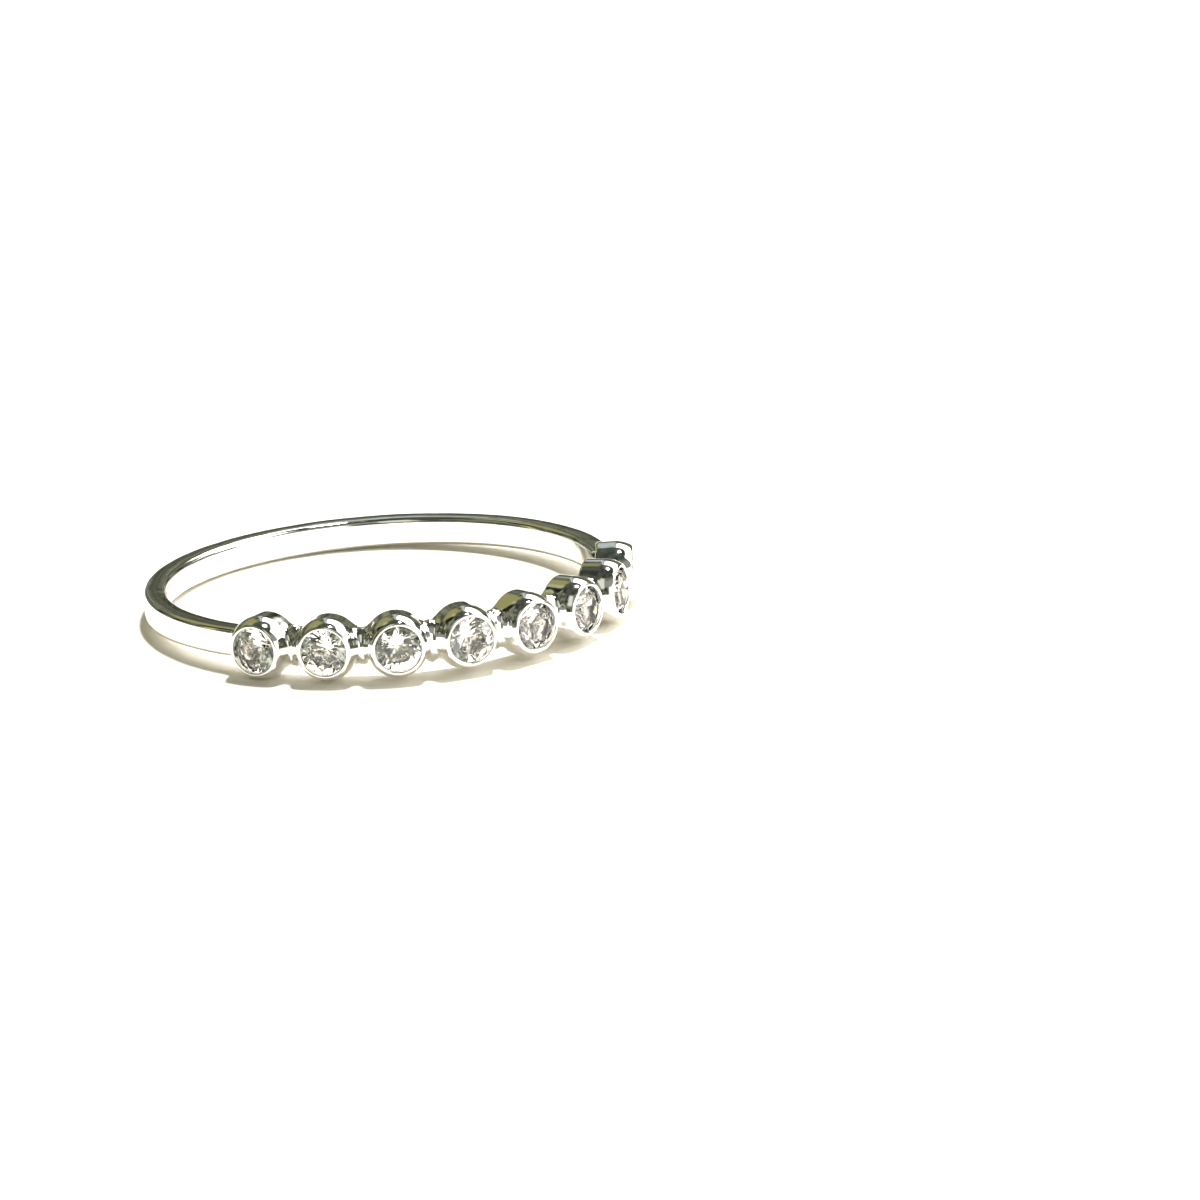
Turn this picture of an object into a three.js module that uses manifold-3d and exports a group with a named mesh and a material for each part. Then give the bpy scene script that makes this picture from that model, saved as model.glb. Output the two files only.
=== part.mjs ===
// Half-eternity ring: a plain round band with eight bezel-set brilliant-cut stones in a row on its
// outside. It lies on its side, as it rests on a table. Millimetres, +Z up.
//
// The ring is built around its own axis, along Z, with the middle of the row towards -Y. It is then
// tilted until the two end bezels and the far side of the band stand on Z = 0.

import * as THREE from "three";
import { ConvexGeometry } from "three/addons/geometries/ConvexGeometry.js";
import { mergeVertices } from "three/addons/utils/BufferGeometryUtils.js";
import Module from "manifold-3d";

const { degToRad } = THREE.MathUtils;

// Band: inside radius of the finger hole, and the section of its wire
const fingerRadius = 8.5;
const bandThickness = 0.92;
const bandWidth = 1.2;
const bandEdgeRadius = 0.18;

// Row of bezels: how many, how far apart, and how far their open faces are from the ring's axis
const bezelCount = 8;
const bezelPitch = degToRad(16.55);
const faceDistance = 10.18;

// One bezel: a drum that curves in from its shoulder to the rim around the stone, and narrows very
// little to its back, which reaches into the band. Depths run from its open face
const bezelRadius = 1.255;
const bezelBackRadius = 1.245;
const bezelDepth = 1.5;
const backEdgeRadius = 0.12;
const shoulderDepth = 0.72;
const apertureRadius = 0.9;

// One stone: a round brilliant. Ratios are parts of its girdle radius
const stoneRadius = 1;
const tableRatio = 0.57;
const starReach = 0.5;
const lowerBreakRatio = 0.22;
const crownAngle = degToRad(34.5);
const pavilionAngle = degToRad(41);
const girdleThickness = 0.07;
const girdleTopDepth = 0.3;
const mainFacets = 8;
const stoneTurn = degToRad(13);

// Clearance between a stone and the metal all round it
const seatGap = 0.045;

// Fineness of the rounds, and how close two corners of a mesh have to be to count as one
const bandSteps = 96;
const bezelSteps = 28;
const edgeArcSteps = 2;
const shoulderArcSteps = 4;
const weldDistance = 1e-5;

// Worked out from the sizes above
const bandOuterRadius = fingerRadius + bandThickness;
const crownHeight = stoneRadius * (1 - tableRatio) * Math.tan(crownAngle);
const girdleBottomDepth = girdleTopDepth + girdleThickness;
const culetDepth = girdleBottomDepth + stoneRadius * Math.tan(pavilionAngle);

const silver = {
  color: 0xd9d7d2,
  metalness: 1,
  roughness: 0.12,
};

const topaz = {
  color: 0xf2f4f5,
  metalness: 0,
  roughness: 0.02,
  transparent: true,
  opacity: 0.6,
};

const wasm = await Module();
wasm.setup();

// A closed three.js geometry as a solid for joining and cutting
function toSolid(geometry) {
  const bare = geometry.clone();
  bare.deleteAttribute("normal");
  bare.deleteAttribute("uv");
  const merged = mergeVertices(bare, weldDistance);
  return new wasm.Manifold(new wasm.Mesh({
    numProp: 3,
    vertProperties: new Float32Array(merged.attributes.position.array),
    triVerts: new Uint32Array(merged.index.array),
  }));
}

// A solid as a three.js geometry again
function toGeometry(solid) {
  const mesh = solid.getMesh();
  const geometry = new THREE.BufferGeometry();
  geometry.setAttribute("position", new THREE.BufferAttribute(mesh.vertProperties, 3));
  geometry.setIndex(new THREE.BufferAttribute(mesh.triVerts, 1));
  geometry.computeVertexNormals();
  return geometry;
}

// A profile of [radius, height] pairs turned around the Z axis
function turned(profile, steps) {
  const points = profile.map(([radius, height]) => new THREE.Vector2(radius, height));
  return new THREE.LatheGeometry(points, steps).rotateX(Math.PI / 2);
}

// Points of an arc around a centre, both ends included
function arcPoints(centreX, centreY, radius, fromAngle, toAngle, steps) {
  const points = [];
  for (let i = 0; i <= steps; i += 1) {
    const angle = THREE.MathUtils.lerp(fromAngle, toAngle, i / steps);
    points.push([centreX + radius * Math.cos(angle), centreY + radius * Math.sin(angle)]);
  }
  return points;
}

// The band: its wire is a rectangle with rounded edges, so its sides keep a flat strip
function bandSolid() {
  const middle = fingerRadius + bandThickness / 2;
  const cornerX = bandThickness / 2 - bandEdgeRadius;
  const cornerY = bandWidth / 2 - bandEdgeRadius;
  const profile = [];
  for (let corner = 0; corner < 4; corner += 1) {
    const start = (corner - 1) * Math.PI / 2;
    const end = start + Math.PI / 2;
    const diagonal = start + Math.PI / 4;
    const centreX = middle + Math.sign(Math.cos(diagonal)) * cornerX;
    const centreY = Math.sign(Math.sin(diagonal)) * cornerY;
    profile.push(...arcPoints(centreX, centreY, bandEdgeRadius, start, end, edgeArcSteps));
  }
  profile.push(profile[0]);
  return toSolid(turned(profile, bandSteps));
}

// The outside of one bezel, standing on its back, with its face at height 0
function drumProfile() {
  const back = -bezelDepth;
  const reach = bezelRadius - apertureRadius;
  const shoulderRadius = (reach ** 2 + shoulderDepth ** 2) / (2 * reach);
  const shoulderCentre = bezelRadius - shoulderRadius;
  const rimAngle = Math.asin(shoulderDepth / shoulderRadius);
  const backCentre = bezelBackRadius - backEdgeRadius;
  return [
    [0, back],
    ...arcPoints(backCentre, back + backEdgeRadius, backEdgeRadius, -Math.PI / 2, 0, edgeArcSteps),
    ...arcPoints(shoulderCentre, -shoulderDepth, shoulderRadius, 0, rimAngle, shoulderArcSteps),
    [0, 0],
  ];
}

// The hollow for one stone, which stays one clearance away from all of it
function seatProfile() {
  const wallRadius = stoneRadius + seatGap;
  const pitGap = seatGap / Math.cos(pavilionAngle);
  const lipGap = seatGap / Math.cos(crownAngle);
  const crownDepthAt = (radius) => girdleTopDepth - (stoneRadius - radius) * Math.tan(crownAngle);
  return [
    [0, -culetDepth - pitGap],
    [wallRadius, -girdleBottomDepth - pitGap + seatGap * Math.tan(pavilionAngle)],
    [wallRadius, -crownDepthAt(wallRadius) + lipGap],
    [apertureRadius, -crownDepthAt(apertureRadius) + lipGap],
    [apertureRadius, crownHeight],
    [0, crownHeight],
  ];
}

// Places something made along Z at bezel number index, with its face outwards
function bezelMatrix(index) {
  const angle = (index - (bezelCount - 1) / 2) * bezelPitch;
  const turn = new THREE.Matrix4().makeRotationZ(angle);
  const outwards = new THREE.Matrix4().makeRotationX(Math.PI / 2);
  const lift = new THREE.Matrix4().makeTranslation(0, 0, faceDistance);
  return turn.multiply(outwards).multiply(lift);
}

// Band and bezels, soldered into one piece of metal
function metalGeometry() {
  const drum = turned(drumProfile(), bezelSteps);
  const seat = turned(seatProfile(), bezelSteps);
  let metal = bandSolid();
  for (let index = 0; index < bezelCount; index += 1) {
    metal = metal.add(toSolid(drum.clone().applyMatrix4(bezelMatrix(index))));
  }
  for (let index = 0; index < bezelCount; index += 1) {
    metal = metal.subtract(toSolid(seat.clone().applyMatrix4(bezelMatrix(index))));
  }
  return toGeometry(metal);
}

// Evenly spaced points on a circle at one height
function ringOfPoints(count, radius, height, firstAngle) {
  const points = [];
  for (let i = 0; i < count; i += 1) {
    const angle = firstAngle + i * 2 * Math.PI / count;
    points.push(new THREE.Vector3(radius * Math.cos(angle), radius * Math.sin(angle), height));
  }
  return points;
}

// A round brilliant around Z, with the bezel's face at height 0: table, stars, kites, girdle and
// pavilion are the flat faces of the hull of six rings of points
function stoneGeometry() {
  const halfFacet = Math.PI / mainFacets;
  const tableRadius = stoneRadius * tableRatio;
  const starRadius = THREE.MathUtils.lerp(tableRadius, stoneRadius, starReach);
  const lowerBreakRadius = stoneRadius * lowerBreakRatio;
  const starDrop = (stoneRadius - starRadius * Math.cos(halfFacet)) * Math.tan(crownAngle);
  const breakRise = lowerBreakRadius * Math.cos(halfFacet) * Math.tan(pavilionAngle);
  return new ConvexGeometry([
    ...ringOfPoints(mainFacets, tableRadius, -girdleTopDepth + crownHeight, 0),
    ...ringOfPoints(mainFacets, starRadius, -girdleTopDepth + starDrop, halfFacet),
    ...ringOfPoints(2 * mainFacets, stoneRadius, -girdleTopDepth, 0),
    ...ringOfPoints(2 * mainFacets, stoneRadius, -girdleBottomDepth, 0),
    ...ringOfPoints(mainFacets, lowerBreakRadius, -culetDepth + breakRise, halfFacet),
    new THREE.Vector3(0, 0, -culetDepth),
  ]);
}

// The tilt at which the end bezels and the far side of the band are equally low
function restingTilt() {
  const endAngle = (bezelCount - 1) / 2 * bezelPitch;
  const bezelReach = (faceDistance - bezelDepth + backEdgeRadius) * Math.cos(endAngle);
  const bandReach = bandOuterRadius - bandEdgeRadius;
  return Math.asin((bezelBackRadius - bandWidth / 2) / (bezelReach + bandReach));
}

function namedMesh(name, geometry, look) {
  const mesh = new THREE.Mesh(geometry, new THREE.MeshStandardMaterial(look));
  mesh.name = name;
  return mesh;
}

const ring = new THREE.Group();
ring.add(namedMesh("band_and_bezels", metalGeometry(), silver));
for (let index = 0; index < bezelCount; index += 1) {
  const stone = namedMesh(`stone_${index + 1}`, stoneGeometry(), topaz);
  stone.applyMatrix4(bezelMatrix(index));
  stone.rotateZ(index * stoneTurn);
  ring.add(stone);
}
ring.rotation.x = -restingTilt();

// The origin is the middle of the resting ring's footprint, on the table
const standing = new THREE.Group();
standing.add(ring);
const bounds = new THREE.Box3().setFromObject(standing, true);
const middle = bounds.getCenter(new THREE.Vector3());
ring.position.set(-middle.x, -middle.y, -bounds.min.z);

export default standing;
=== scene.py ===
"""Looks of a half-eternity ring: a polished silver band with eight bezel-set stones.

Sizes are in millimetres, in the ring's own frame: its axis along Z, the middle of the row of
stones towards -Y. ring_place() brings that frame into the solids' frame, and metal() scales the
finished mesh to metres.
"""

import math
import random
from collections import namedtuple

import bmesh
import bpy
import numpy as np
from mathutils import Matrix, Vector


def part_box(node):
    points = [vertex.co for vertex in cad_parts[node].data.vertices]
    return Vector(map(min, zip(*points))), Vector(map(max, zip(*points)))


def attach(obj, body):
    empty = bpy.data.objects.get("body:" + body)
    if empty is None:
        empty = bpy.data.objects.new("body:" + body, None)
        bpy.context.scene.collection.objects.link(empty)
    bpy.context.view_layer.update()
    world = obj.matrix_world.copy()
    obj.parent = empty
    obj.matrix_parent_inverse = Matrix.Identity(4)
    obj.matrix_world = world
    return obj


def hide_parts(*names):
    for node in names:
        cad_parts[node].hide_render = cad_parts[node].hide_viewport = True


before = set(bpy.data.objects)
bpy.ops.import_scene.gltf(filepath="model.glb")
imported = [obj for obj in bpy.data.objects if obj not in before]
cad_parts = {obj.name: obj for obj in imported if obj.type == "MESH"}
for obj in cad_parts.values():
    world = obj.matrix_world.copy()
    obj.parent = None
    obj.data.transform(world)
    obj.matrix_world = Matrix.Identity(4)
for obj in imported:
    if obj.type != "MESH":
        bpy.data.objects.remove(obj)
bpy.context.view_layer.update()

MM = 0.001

# The metal's sizes, as in the solids
FINGER_RADIUS = 8.5
BAND_THICKNESS = 0.92
BAND_WIDTH = 1.2
BAND_EDGE_RADIUS = 0.18
BEZEL_COUNT = 8
BEZEL_PITCH = math.radians(16.55)
FACE_DISTANCE = 10.18
BEZEL_RADIUS = 1.255
BEZEL_BACK_RADIUS = 1.245
BEZEL_DEPTH = 1.5
BACK_EDGE_RADIUS = 0.12
SHOULDER_DEPTH = 0.72
APERTURE_RADIUS = 0.9

# The stones' sizes, as in the solids, which shape the hollows that they sit in
STONE_RADIUS = 1.0
CROWN_ANGLE = math.radians(34.5)
PAVILION_ANGLE = math.radians(41)
GIRDLE_TOP_DEPTH = 0.3
GIRDLE_THICKNESS = 0.07
SEAT_GAP = 0.045

# Hand work: how far the band's two sides are crowned, how softly the rims end, and the fillets of
# solder
BAND_CROWN = 0.04
RIM_BLEND = 0.07
SOLDER_BLEND = 0.3

# The lump of solder in each neck between two bezels: its half sizes along the band, outwards and
# along the ring's axis, how far out it lies, and how much the lumps differ in size and height
SOLDER_LUMP = Vector((0.3, 0.42, 0.8))
SOLDER_DISTANCE = 9.2
SOLDER_SIZE_SPREAD = 0.1
SOLDER_HEIGHT_SPREAD = 0.06
SOLDER_SEED = 5

# The long waves that hand polishing leaves: each goes through this many radians a millimetre along
# X, Y and Z, from this phase
WAVE_HEIGHT = 0.006
WAVES = [(2.1, 0, 0.7, 0), (0, 1.3, -2.9, 1), (3.1, 2.3, 0, 2)]

# The walls of the stones' hollows start this far under the rim, and corners this close are on them
LIP_DEPTH = 0.14
WALL_DISTANCE = 0.02

# Fineness of the metal's mesh: the length of its faces, and how its corners settle onto the exact
# surface
FACE_LENGTH = 0.073
FEWEST_ARC_STEPS = 4
MERGE_DISTANCE = 0.0001
SETTLE_ROUNDS = 3
LONGEST_STEP = 0.05
SLOPE_STEP = 0.003
NOT_ZERO = 1e-12

# No bezel and no lump of solder reaches further than this from its place
NEIGHBOURHOOD = 2.2

# The camera: where it stands, seen from the middle of the ring, and the pixel of the picture that
# this middle falls on
CAMERA_DISTANCE = 318.98
CAMERA_AZIMUTH = math.radians(-29.8)
CAMERA_ELEVATION = math.radians(16.96)
CAMERA_ROLL = math.radians(2.465)
CLIP_START = 10
LENS = 240.0
SENSOR = 36.0
PICTURE_SIDE = 1200
RING_PIXEL = (379.92, 585.28)

# The silver's finish: its colour, clean and tarnished, its roughness, polished and smudged, and the
# relief that is finer than its mesh
SILVER_CLEAN = (0.94, 0.93, 0.91, 1)
SILVER_TARNISHED = (0.9, 0.88, 0.84, 1)
SILVER_ROUGHNESS = (0.035, 0.11)
SWELL_HEIGHT = 0.012
SCRATCH_DEPTH = 0.0006

# The unpolished silver under the stones, its dark grey colour painted shade of the hollows
SEAT_SHADE_DARK = (0.1, 0.085, 0.08, 1)
SEAT_SHADE_PALE = (0.2, 0.185, 0.175, 1)
SEAT_ROUGHNESS = 0.4

# The stones' colour, where it is clearest and where it has a trace of grey
TOPAZ_CLEAR = (1, 0.99, 0.985, 1)
TOPAZ_GREY = (0.96, 0.95, 0.95, 1)
TOPAZ_INDEX = 1.62

# The floor: its side, its colour at its palest and darkest, and its roughness
FLOOR_SIDE = 3000
FLOOR_LIGHT = (0.96, 0.92, 0.82, 1)
FLOOR_DARK = (0.93, 0.89, 0.79, 1)
FLOOR_ROUGHNESS = 0.6

# What the silver and the stones mirror: leaves, which go dark overhead, and a bright floor. Angles
# of the surroundings are in degrees, azimuths from +Y towards +X
LEAF_DARK = (0.03, 0.035, 0.025, 1)
LEAF_LIGHT = (0.26, 0.27, 0.19, 1)
OVERHEAD_COLOUR = (0.03, 0.04, 0.035, 1)
OVERHEAD_SHARE = 0.75
OVERHEAD_ELEVATION = 60
OVERHEAD_EDGE = 5
BELOW_COLOUR = (1, 1, 0.97, 1)
BELOW_EDGE = 2

# Patches with soft edges in these surroundings, each laid over the ones before it
Patch = namedtuple("Patch", "azimuth elevation half_width half_height edge colour brightness")
SURROUNDINGS = [
    # Two windows
    Patch(61, 46, 28, 13, 3, (1, 1, 0.98), 4.0),
    Patch(113, 39, 25, 21, 4, (1, 1, 0.98), 4.0),
    # Pale walls, one bright and low, one dim
    Patch(160, 11, 32, 14, 5, (1, 1, 0.96), 2.0),
    Patch(172, 38, 36, 12, 5, (1, 1, 0.94), 0.3),
    # Leaves, in the sun but for the third
    Patch(-8, 42, 23, 17, 6, (1, 0.96, 0.42), 0.32),
    Patch(-20, 53, 9, 6, 3, (0.93, 1, 0.6), 0.45),
    Patch(-41, 44, 10, 11, 3, (1, 1, 0.7), 0.015),
    Patch(-60, 16, 7, 12, 3, (1, 0.95, 0.35), 0.6),
    # A strip of sky, pale green leaves and a small pink spot
    Patch(27, 40, 3, 20, 2, (0.9, 1, 1), 0.55),
    Patch(222, 40, 12, 18, 4, (0.95, 1, 0.85), 0.8),
    Patch(98, 22, 8, 4, 2, (1, 0.75, 0.7), 0.17),
]

# Azimuths are measured from this one, which puts their seam opposite the windows
WINDOW_MIDDLE = 120

# What the camera itself sees past the floor
BACKDROP_COLOUR = (1.1, 1.1, 1.1, 1)

# The sun: where it stands, its strength and how wide it is, with its angles in degrees
SUN_AZIMUTH = 75
SUN_ELEVATION = 76
SUN_STRENGTH = 3.6
SUN_WIDTH = 6

# Worked out from the sizes above
BAND_OUTER_RADIUS = FINGER_RADIUS + BAND_THICKNESS
GIRDLE_BOTTOM_DEPTH = GIRDLE_TOP_DEPTH + GIRDLE_THICKNESS
CULET_DEPTH = GIRDLE_BOTTOM_DEPTH + STONE_RADIUS * math.tan(PAVILION_ANGLE)


# Places


def ring_place():
    """The matrix from the ring's own frame to the solids' frame, both in millimetres.

    The ring leans, as it stands on its two end bezels and on the far side of its band.
    """
    end_angle = (BEZEL_COUNT - 1) / 2 * BEZEL_PITCH
    bezel_reach = (FACE_DISTANCE - BEZEL_DEPTH + BACK_EDGE_RADIUS) * math.cos(end_angle)
    along = BAND_OUTER_RADIUS - BAND_EDGE_RADIUS
    across = BAND_WIDTH / 2 - BAND_EDGE_RADIUS
    tilt = math.asin((BEZEL_BACK_RADIUS - BAND_WIDTH / 2) / (bezel_reach + along))
    lift = along * math.sin(tilt) + across * math.cos(tilt) + BAND_EDGE_RADIUS
    reach = along * math.cos(tilt) + across * math.sin(tilt) + BAND_EDGE_RADIUS
    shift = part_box("band_and_bezels")[1].y / MM - reach
    return Matrix.Translation((0, shift, lift)) @ Matrix.Rotation(-tilt, 4, "X")


def bezel_turn(index):
    """Where bezel number index is round the ring. Halves are the necks between two bezels."""
    return (index - (BEZEL_COUNT - 1) / 2) * BEZEL_PITCH


def bezel_place(index):
    """The matrix from a bezel's frame, its face at height 0 and outwards along Z, to the ring's."""
    turn = Matrix.Rotation(bezel_turn(index), 4, "Z")
    return turn @ Matrix.Rotation(math.pi / 2, 4, "X") @ Matrix.Translation((0, 0, FACE_DISTANCE))


def solder_lumps():
    """The place and the half sizes of the lump of solder in each neck, no two alike."""
    chance = random.Random(SOLDER_SEED)
    least, most = 1 - SOLDER_SIZE_SPREAD, 1 + SOLDER_SIZE_SPREAD
    lumps = []
    for index in range(BEZEL_COUNT - 1):
        size = Vector(length * chance.uniform(least, most) for length in SOLDER_LUMP)
        height = chance.uniform(-SOLDER_HEIGHT_SPREAD, SOLDER_HEIGHT_SPREAD)
        place = Matrix.Rotation(bezel_turn(index + 0.5), 4, "Z")
        lumps.append((place @ Matrix.Translation((0, -SOLDER_DISTANCE, height)), size))
    return lumps


# Shapes as distances: how far points are outside a surface, negative inside it


def smooth_max(a, b, blend):
    """The larger of two distances, with the edge between their surfaces rounded off."""
    near = np.maximum(blend - np.abs(a - b), 0) / blend
    return np.maximum(a, b) + near**2 * blend / 4


def smooth_min(a, b, blend):
    """The smaller of two distances, with a fillet in the corner between their surfaces."""
    return -smooth_max(-a, -b, blend)


def seen_from(place, points):
    """Points of the ring's frame in the frame that place stands for."""
    inverse = np.array(place.inverted())
    return points @ inverse[:3, :3].T + inverse[:3, 3]


def neighbours(place, points):
    """Which points are close to a place, and where they are in its frame."""
    local = seen_from(place, points)
    near = np.linalg.norm(local, axis=1) < NEIGHBOURHOOD
    return near, local[near]


def band_distance(points):
    """The band, nearly square in section, with round edges and slightly crowned sides."""
    across = np.abs(np.hypot(points[:, 0], points[:, 1]) - FINGER_RADIUS - BAND_THICKNESS / 2)
    crown = BAND_CROWN * np.square(across * 2 / BAND_THICKNESS)
    x = across - BAND_THICKNESS / 2 + BAND_EDGE_RADIUS
    z = np.abs(points[:, 2]) + crown - BAND_WIDTH / 2 + BAND_EDGE_RADIUS
    outside = np.hypot(np.maximum(x, 0), np.maximum(z, 0))
    return outside + np.minimum(np.maximum(x, z), 0) - BAND_EDGE_RADIUS


def drum_distance(points):
    """One bezel as a full drum with a ball-shaped shoulder, in its own frame."""
    radius = np.hypot(points[:, 0], points[:, 1])
    height = points[:, 2]
    down = np.clip((-height - SHOULDER_DEPTH) / (BEZEL_DEPTH - SHOULDER_DEPTH), 0, 1)
    side = radius - BEZEL_RADIUS + down * (BEZEL_RADIUS - BEZEL_BACK_RADIUS)
    shoulder = np.hypot(radius, height + SHOULDER_DEPTH) - BEZEL_RADIUS
    outline = np.where(height > -SHOULDER_DEPTH, shoulder, side)
    faced = smooth_max(outline, height, RIM_BLEND)
    return smooth_max(faced, -height - BEZEL_DEPTH, BACK_EDGE_RADIUS)


def seat_distance(points):
    """The hollow for one stone, in its bezel's frame: the stone's outline and its clearance."""
    radius = np.hypot(points[:, 0], points[:, 1])
    height = points[:, 2]
    below = (-height - CULET_DEPTH) * math.cos(PAVILION_ANGLE) + radius * math.sin(PAVILION_ANGLE)
    crown_depth = GIRDLE_TOP_DEPTH - (STONE_RADIUS - radius) * math.tan(CROWN_ANGLE)
    above = (height + crown_depth) * math.cos(CROWN_ANGLE)
    stone = np.maximum(np.maximum(below, above), radius - STONE_RADIUS) - SEAT_GAP
    mouth = np.maximum(radius - APERTURE_RADIUS, -height - GIRDLE_TOP_DEPTH)
    return np.minimum(stone, mouth)


def lump_distance(points, size):
    """One lump of solder, an ellipsoid with these half sizes."""
    scaled = np.linalg.norm(points / size, axis=1)
    slope = np.linalg.norm(points / np.square(size), axis=1)
    return scaled * (scaled - 1) / np.maximum(slope, NOT_ZERO)


def wave(points):
    """How high the waves of hand polishing stand."""
    x, y, z = points.T
    swell = sum(np.sin(a * x + b * y + c * z + phase) for a, b, c, phase in WAVES)
    return WAVE_HEIGHT * swell / len(WAVES)


def metal_distance(points):
    """Band, bezels and solder as one piece, with the stones' hollows cut out of it."""
    metal = band_distance(points)
    hollows = np.full(len(points), NEIGHBOURHOOD)
    for place, size in solder_lumps():
        near, local = neighbours(place, points)
        metal[near] = smooth_min(metal[near], lump_distance(local, np.array(size)), SOLDER_BLEND)
    for index in range(BEZEL_COUNT):
        near, local = neighbours(bezel_place(index), points)
        metal[near] = smooth_min(metal[near], drum_distance(local), SOLDER_BLEND)
        hollows[near] = np.minimum(hollows[near], seat_distance(local))
    return smooth_max(metal + wave(points), -hollows, RIM_BLEND)


def metal_slope(points):
    """The direction in which metal_distance grows fastest, as unit vectors."""
    columns = []
    for axis in range(3):
        step = np.zeros(3)
        step[axis] = SLOPE_STEP
        columns.append(metal_distance(points + step) - metal_distance(points - step))
    slope = np.stack(columns, axis=1)
    return slope / np.maximum(np.linalg.norm(slope, axis=1, keepdims=True), NOT_ZERO)


# The first mesh, turned profiles joined and cut


def arc(centre, radius, start, end):
    """Points of an arc in a profile, close enough for the metal's mesh, both ends included."""
    steps = max(FEWEST_ARC_STEPS, math.ceil(abs(end - start) * radius / FACE_LENGTH))
    angles = [start + (end - start) * i / steps for i in range(steps + 1)]
    return [(centre[0] + radius * math.cos(a), centre[1] + radius * math.sin(a)) for a in angles]


def evenly(profile):
    """The same profile with its straight stretches cut into steps of one face length."""
    points = [Vector(profile[0])]
    for corner in map(Vector, profile[1:]):
        start = points[-1].copy()
        steps = max(1, round((corner - start).length / FACE_LENGTH))
        points += [start.lerp(corner, (i + 1) / steps) for i in range(steps)]
    return points


def new_object(name, data):
    """A mesh, camera or light as an object of the scene."""
    made = bpy.data.objects.new(name, data)
    bpy.context.scene.collection.objects.link(made)
    return made


def turned(name, profile, widest):
    """An object whose profile of (radius, height) points is turned around Z."""
    shape = bmesh.new()
    corners = [shape.verts.new((radius, 0, height)) for radius, height in evenly(profile)]
    for pair in zip(corners, corners[1:]):
        shape.edges.new(pair)
    steps = round(2 * math.pi * widest / FACE_LENGTH)
    outline = shape.verts[:] + shape.edges[:]
    bmesh.ops.spin(shape, geom=outline, axis=(0, 0, 1), angle=2 * math.pi, steps=steps, use_merge=True)
    bmesh.ops.remove_doubles(shape, verts=shape.verts, dist=MERGE_DISTANCE)
    bmesh.ops.recalc_face_normals(shape, faces=shape.faces)
    mesh = bpy.data.meshes.new(name)
    shape.to_mesh(mesh)
    shape.free()
    return new_object(name, mesh)


def band_blank():
    """The band, its profile made of a quarter circle at each corner."""
    middle = FINGER_RADIUS + BAND_THICKNESS / 2
    corner_x = BAND_THICKNESS / 2 - BAND_EDGE_RADIUS
    corner_z = BAND_WIDTH / 2 - BAND_EDGE_RADIUS
    profile = []
    for quarter in range(4):
        start = (quarter - 1) * math.pi / 2
        side = 1 if quarter in (0, 1) else -1
        top = 1 if quarter in (1, 2) else -1
        centre = (middle + side * corner_x, top * corner_z)
        profile += arc(centre, BAND_EDGE_RADIUS, start, start + math.pi / 2)
    return turned("band", [*profile, profile[0]], middle)


def drum_blank():
    """One bezel as a full drum, in its own frame."""
    back_centre = (BEZEL_BACK_RADIUS - BACK_EDGE_RADIUS, BACK_EDGE_RADIUS - BEZEL_DEPTH)
    profile = [(0, -BEZEL_DEPTH)]
    profile += arc(back_centre, BACK_EDGE_RADIUS, -math.pi / 2, 0)
    shoulder_turn = math.asin(SHOULDER_DEPTH / BEZEL_RADIUS)
    profile += arc((0, -SHOULDER_DEPTH), BEZEL_RADIUS, 0, shoulder_turn)
    return turned("drum", [*profile, (0, 0)], BEZEL_RADIUS)


def seat_blank():
    """What is cut out of a drum: the hollow for its stone, and the opening over it."""
    wall = STONE_RADIUS + SEAT_GAP
    pit_gap = SEAT_GAP / math.cos(PAVILION_ANGLE)
    lip_gap = SEAT_GAP / math.cos(CROWN_ANGLE)
    lip_rise = math.tan(CROWN_ANGLE)
    profile = [
        (0, -CULET_DEPTH - pit_gap),
        (wall, -GIRDLE_BOTTOM_DEPTH - pit_gap + SEAT_GAP * math.tan(PAVILION_ANGLE)),
        (wall, -GIRDLE_TOP_DEPTH - SEAT_GAP * lip_rise + lip_gap),
        (APERTURE_RADIUS, -GIRDLE_TOP_DEPTH + (STONE_RADIUS - APERTURE_RADIUS) * lip_rise + lip_gap),
        (APERTURE_RADIUS, GIRDLE_TOP_DEPTH),
        (0, GIRDLE_TOP_DEPTH),
    ]
    return turned("seat", profile, wall)


def lump_blank():
    """A ball of radius 1, which is stretched to the half sizes of each lump of solder."""
    return turned("lump", arc((0, 0), 1, -math.pi / 2, math.pi / 2), SOLDER_LUMP.z / 2)


def placed_copy(blank, place):
    """Another object with the blank's mesh, moved there by place."""
    made = new_object(blank.name, blank.data.copy())
    made.data.transform(place)
    return made


def add_boolean(body, tool, operation):
    modifier = body.modifiers.new(operation, "BOOLEAN")
    modifier.operation = operation
    modifier.solver = "MANIFOLD"
    modifier.object = tool


def metal_blank():
    """The joined and cut mesh, before its corners settle onto the exact surface."""
    body, drum, seat, lump = band_blank(), drum_blank(), seat_blank(), lump_blank()
    tools = [drum, seat, lump]
    for index in range(BEZEL_COUNT):
        tools.append(placed_copy(drum, bezel_place(index)))
        add_boolean(body, tools[-1], "UNION")
    for place, size in solder_lumps():
        tools.append(placed_copy(lump, place @ Matrix.Diagonal((*size, 1))))
        add_boolean(body, tools[-1], "UNION")
    for index in range(BEZEL_COUNT):
        tools.append(placed_copy(seat, bezel_place(index)))
        add_boolean(body, tools[-1], "DIFFERENCE")
    scene = bpy.context.evaluated_depsgraph_get()
    mesh = bpy.data.meshes.new_from_object(body.evaluated_get(scene))
    for made in [body, *tools]:
        bpy.data.objects.remove(made)
    return mesh


# The finished mesh


def corners_of(mesh):
    """The places of a mesh's corners, one row each."""
    points = np.zeros(len(mesh.vertices) * 3, np.float32)
    mesh.vertices.foreach_get("co", points)
    return points.reshape(-1, 3).astype(float)


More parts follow.
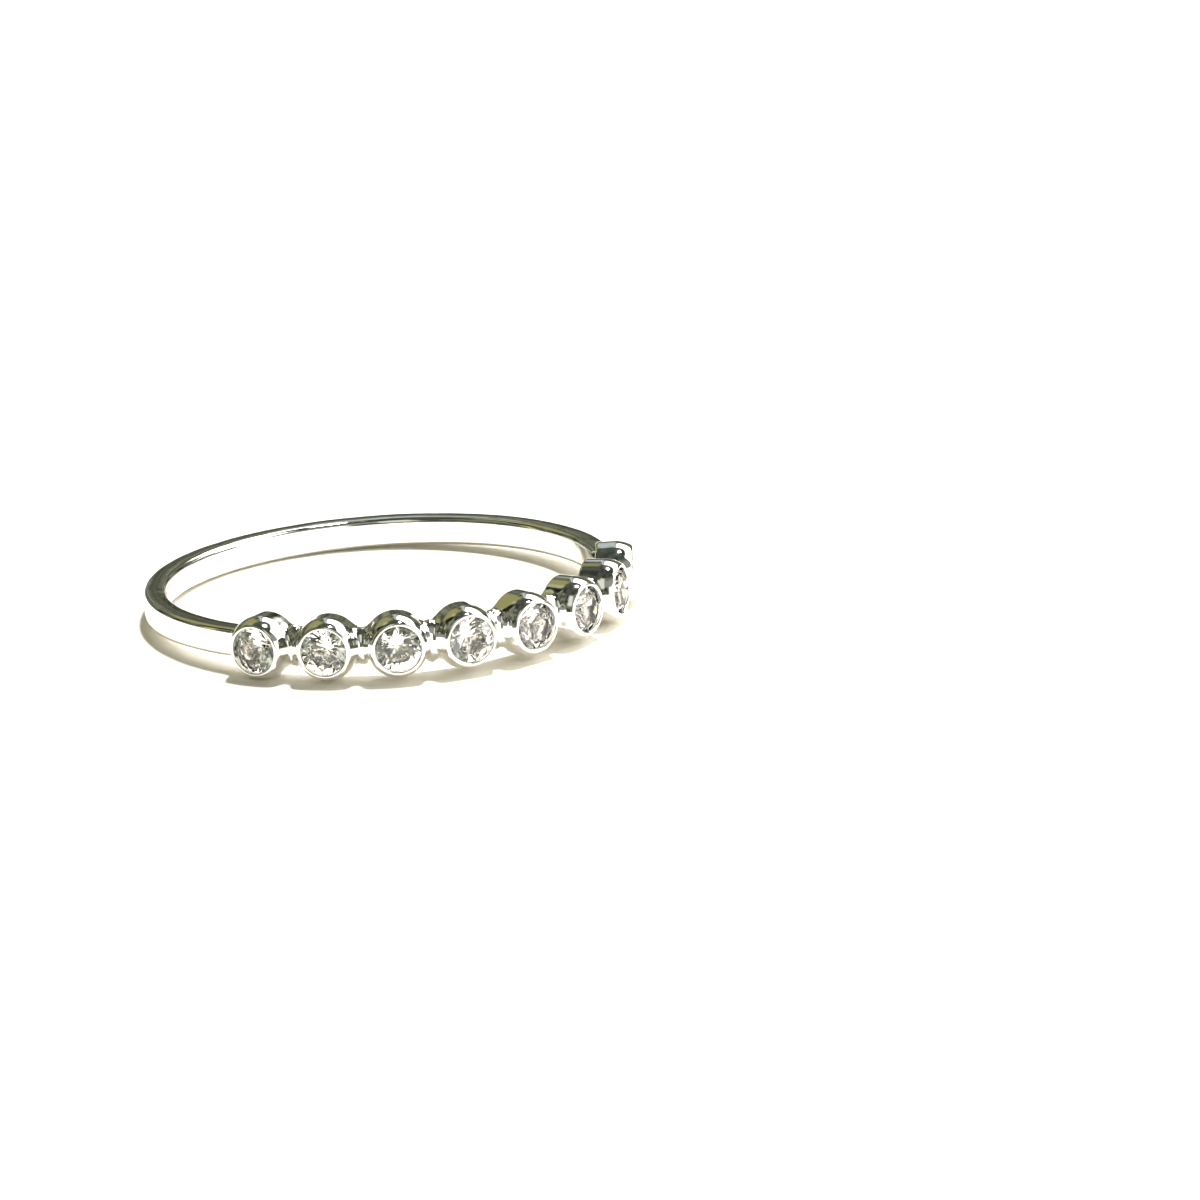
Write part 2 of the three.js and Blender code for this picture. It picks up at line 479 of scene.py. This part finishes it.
def settled(points):
    """The points once they have moved onto the exact surface, along its slope."""
    for _ in range(SETTLE_ROUNDS):
        step = np.clip(metal_distance(points), -LONGEST_STEP, LONGEST_STEP)
        points = points - step[:, None] * metal_slope(points)
    return points


def in_seats(points):
    """Which points are on the walls of the hollows, under the lip that holds the stone."""
    found = np.zeros(len(points), bool)
    for index in range(BEZEL_COUNT):
        near, local = neighbours(bezel_place(index), points)
        walls = (np.abs(seat_distance(local)) < WALL_DISTANCE) & (local[:, 2] < -LIP_DEPTH)
        found[near] |= walls
    return found


def mark_seats(mesh, deep):
    """Gives the faces with only deep corners the second material, the seat silver with painted shade.
    """
    for face in mesh.polygons:
        face.material_index = int(all(deep[corner] for corner in face.vertices))


def metal():
    """The silver, its mesh settled onto the exact surface and shaded by that surface's slope."""
    mesh = metal_blank()
    points = settled(corners_of(mesh))
    deep = in_seats(points)
    place = np.array(ring_place())
    normals = metal_slope(points) @ place[:3, :3].T
    points = (points @ place[:3, :3].T + place[:3, 3]) * MM
    mesh.vertices.foreach_set("co", points.ravel().astype(np.float32))
    mesh.shade_smooth()
    mark_seats(mesh, deep)
    mesh.normals_split_custom_set_from_vertices(normals.astype(np.float32))
    return new_object("silver_band_and_bezels", mesh)


# Materials


def link(tree, value, socket):
    """Sets a socket, or joins another node's output to it."""
    if isinstance(value, bpy.types.NodeSocket):
        tree.links.new(value, socket)
    else:
        socket.default_value = value


def add_node(tree, kind, *values, **settings):
    """A node of this kind with its settings, and its first inputs set or joined in order."""
    node = tree.nodes.new("ShaderNode" + kind)
    for name, setting in settings.items():
        setattr(node, name, setting)
    for value, socket in zip(values, node.inputs):
        link(tree, value, socket)
    return node


def calculate(tree, operation, *values):
    return add_node(tree, "Math", *values, operation=operation).outputs[0]


def mixed(tree, share, first, second):
    """The first colour, going over to the second as share goes from 0 to 1."""
    node = add_node(tree, "Mix", share, data_type="RGBA")
    link(tree, first, node.inputs["A"])
    link(tree, second, node.inputs["B"])
    return node.outputs["Result"]


def between(tree, value, low, high, start=0.0, end=1.0):
    """A value that goes from start to end, softly, as the given one goes from low to high."""
    node = add_node(tree, "MapRange", value, low, high, start, end, interpolation_type="SMOOTHSTEP")
    return node.outputs[0]


def noise(tree, vector, scale, detail=3.0, roughness=0.5):
    """Clouds from 0 to 1, mostly from 0.3 to 0.7."""
    node = add_node(tree, "TexNoise")
    link(tree, vector, node.inputs["Vector"])
    link(tree, scale, node.inputs["Scale"])
    link(tree, detail, node.inputs["Detail"])
    link(tree, roughness, node.inputs["Roughness"])
    return node.outputs["Fac"]


def new_material(name):
    """A material with nodes: its tree and its main shader."""
    material = bpy.data.materials.new(name)
    material.use_nodes = True
    return material, material.node_tree, material.node_tree.nodes["Principled BSDF"]


def in_millimetres(tree):
    """The object's own coordinates, in millimetres, as every part lies at the origin."""
    place = add_node(tree, "TexCoord").outputs["Object"]
    node = add_node(tree, "VectorMath", place, operation="SCALE")
    node.inputs["Scale"].default_value = 1 / MM
    return node.outputs[0]


def round_the_ring(tree, place):
    """A place as its distance from the Z axis, which is close to the ring's own, height and angle."""
    x, y, z = add_node(tree, "SeparateXYZ", place).outputs
    squares = calculate(tree, "ADD", calculate(tree, "POWER", x, 2), calculate(tree, "POWER", y, 2))
    radius = calculate(tree, "SQRT", squares)
    return add_node(tree, "CombineXYZ", radius, z, calculate(tree, "ARCTAN2", x, y)).outputs[0]


def silver_relief(tree, place):
    """Normals for a slight swell, and for fine scratches that run round the ring."""
    clouds = noise(tree, place, scale=1.3, detail=1.0)
    swell = calculate(tree, "MULTIPLY", clouds, SWELL_HEIGHT)
    scratches = noise(tree, round_the_ring(tree, place), scale=9.0, detail=4.0, roughness=0.7)
    height = calculate(tree, "MULTIPLY_ADD", scratches, SCRATCH_DEPTH, swell)
    bump = add_node(tree, "Bump")
    bump.inputs["Distance"].default_value = MM
    link(tree, height, bump.inputs["Height"])
    return bump.outputs[0]


def silver_material():
    """Polished silver: nearly a mirror, with a hand-made relief, some tarnish and some smudges."""
    material, tree, bsdf = new_material("polished_silver")
    place = in_millimetres(tree)
    tarnish = between(tree, noise(tree, place, scale=0.9), low=0.45, high=0.75)
    link(tree, mixed(tree, tarnish, SILVER_CLEAN, SILVER_TARNISHED), bsdf.inputs["Base Color"])
    smudge = noise(tree, place, scale=2.5, detail=4.0, roughness=0.6)
    link(tree, between(tree, smudge, 0.35, 0.75, *SILVER_ROUGHNESS), bsdf.inputs["Roughness"])
    link(tree, silver_relief(tree, place), bsdf.inputs["Normal"])
    bsdf.inputs["Metallic"].default_value = 1
    return material


def seat_material():
    """Silver under a stone: matt as the cutter leaves it, its grey colour darkened as painted shade of
    the hollow.
    """
    material, tree, bsdf = new_material("seat_silver_painted_shade")
    place = in_millimetres(tree)
    shade = between(tree, noise(tree, place, scale=3.0), low=0.35, high=0.7)
    # Painted shade: the dark grey colour stands in for the shade inside the hollow under the stone
    link(tree, mixed(tree, shade, SEAT_SHADE_DARK, SEAT_SHADE_PALE), bsdf.inputs["Base Color"])
    bsdf.inputs["Metallic"].default_value = 1
    bsdf.inputs["Roughness"].default_value = SEAT_ROUGHNESS
    return material


def topaz_material():
    """Colourless topaz, perfectly polished, with a trace of grey in places."""
    material, tree, bsdf = new_material("colourless_topaz")
    place = in_millimetres(tree)
    shade = between(tree, noise(tree, place, scale=1.1), low=0.35, high=0.7)
    link(tree, mixed(tree, shade, TOPAZ_CLEAR, TOPAZ_GREY), bsdf.inputs["Base Color"])
    bsdf.inputs["Roughness"].default_value = 0
    bsdf.inputs["IOR"].default_value = TOPAZ_INDEX
    bsdf.inputs["Transmission Weight"].default_value = 1
    return material


def floor_material():
    material, tree, bsdf = new_material("pale_floor")
    place = in_millimetres(tree)
    cloud = between(tree, noise(tree, place, scale=0.12), low=0.3, high=0.7)
    link(tree, mixed(tree, cloud, FLOOR_LIGHT, FLOOR_DARK), bsdf.inputs["Base Color"])
    bsdf.inputs["Roughness"].default_value = FLOOR_ROUGHNESS
    return material


def dress(thing, *materials):
    """Gives an object these materials in place of its own."""
    thing.data.materials.clear()
    for material in materials:
        thing.data.materials.append(material)


# Camera, floor and light


def add_camera():
    """The camera, turned and moved so that the ring's middle falls on RING_PIXEL."""
    data = bpy.data.cameras.new("camera")
    data.lens = LENS
    data.sensor_width = SENSOR
    data.clip_start = CLIP_START * MM
    camera = new_object("camera", data)
    lean = Matrix.Rotation(math.pi / 2 - CAMERA_ELEVATION, 4, "X")
    towards = Matrix.Rotation(CAMERA_AZIMUTH, 4, "Z") @ lean
    turned_camera = towards @ Matrix.Rotation(-CAMERA_ROLL, 4, "Z")
    focal_pixels = LENS / SENSOR * PICTURE_SIDE
    offset_x = (RING_PIXEL[0] - PICTURE_SIDE / 2) / focal_pixels * CAMERA_DISTANCE
    offset_y = -(RING_PIXEL[1] - PICTURE_SIDE / 2) / focal_pixels * CAMERA_DISTANCE
    camera.matrix_world = (
        Matrix.Translation(ring_place().translation * MM)
        @ turned_camera
        @ Matrix.Translation(Vector((-offset_x, -offset_y, CAMERA_DISTANCE)) * MM)
    )
    bpy.context.scene.camera = camera


def add_floor():
    """A pale matt floor, far larger than the view."""
    bpy.ops.mesh.primitive_plane_add(size=FLOOR_SIDE * MM)
    floor = bpy.context.object
    floor.name = "floor"
    dress(floor, floor_material())


def angles_of(tree, direction):
    """The azimuth of a direction, from WINDOW_MIDDLE, and its elevation."""
    turn = add_node(tree, "VectorRotate", direction, rotation_type="Z_AXIS")
    turn.inputs["Angle"].default_value = math.radians(WINDOW_MIDDLE)
    x, y, z = add_node(tree, "SeparateXYZ", turn.outputs[0]).outputs
    azimuth = calculate(tree, "DEGREES", calculate(tree, "ARCTAN2", x, y))
    elevation = calculate(tree, "DEGREES", calculate(tree, "ARCSINE", z))
    return azimuth, elevation


def leafy_colour(tree, direction, elevation):
    """The surroundings without their patches and without what is below the horizon."""
    clouds = noise(tree, direction, scale=4.5, detail=5.0, roughness=0.6)
    leaves = mixed(tree, between(tree, clouds, low=0.38, high=0.66), LEAF_DARK, LEAF_LIGHT)
    low, high = OVERHEAD_ELEVATION - OVERHEAD_EDGE, OVERHEAD_ELEVATION + OVERHEAD_EDGE
    overhead = between(tree, elevation, low, high, 0.0, OVERHEAD_SHARE)
    return mixed(tree, overhead, leaves, OVERHEAD_COLOUR)


def within(tree, angle, middle, half_size, edge):
    """1 where an angle is within half_size of the middle, 0 outside it, softly in between."""
    away = calculate(tree, "ABSOLUTE", calculate(tree, "SUBTRACT", angle, middle))
    return between(tree, away, half_size - edge, half_size + edge, 1.0, 0.0)


def patch_mask(tree, azimuth, elevation, patch):
    """1 inside a patch of the surroundings, 0 outside it, softly in between."""
    in_width = within(tree, azimuth, patch.azimuth - WINDOW_MIDDLE, patch.half_width, patch.edge)
    in_height = within(tree, elevation, patch.elevation, patch.half_height, patch.edge)
    return calculate(tree, "MULTIPLY", in_width, in_height)


def add_world():
    """The surroundings. The camera itself sees plain white behind the floor."""
    world = bpy.data.worlds.new("studio")
    bpy.context.scene.world = world
    world.use_nodes = True
    tree = world.node_tree
    direction = add_node(tree, "TexCoord").outputs["Generated"]
    azimuth, elevation = angles_of(tree, direction)
    colour = leafy_colour(tree, direction, elevation)
    for patch in SURROUNDINGS:
        tint = (*[channel * patch.brightness for channel in patch.colour], 1)
        colour = mixed(tree, patch_mask(tree, azimuth, elevation, patch), colour, tint)
    below = between(tree, elevation, -BELOW_EDGE, 0, 1.0, 0.0)
    colour = mixed(tree, below, colour, BELOW_COLOUR)
    seen = add_node(tree, "LightPath").outputs["Is Camera Ray"]
    background = tree.nodes["Background"]
    link(tree, mixed(tree, seen, colour, BACKDROP_COLOUR), background.inputs["Color"])


def add_sun():
    """The key light, high up, and behind and to the right of the ring as the camera sees it."""
    data = bpy.data.lights.new("sun", "SUN")
    data.energy = SUN_STRENGTH
    data.angle = math.radians(SUN_WIDTH)
    sun = new_object("sun", data)
    turn = Matrix.Rotation(math.radians(-SUN_AZIMUTH), 4, "Z")
    sun.matrix_world = turn @ Matrix.Rotation(-math.radians(90 - SUN_ELEVATION), 4, "X")


silver = metal()
dress(silver, silver_material(), seat_material())
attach(silver, "root")
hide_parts("band_and_bezels")
topaz = topaz_material()
for name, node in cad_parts.items():
    if name.startswith("stone"):
        dress(node, topaz)
add_camera()
add_floor()
add_world()
add_sun()
bpy.context.scene.view_settings.view_transform = "Standard"
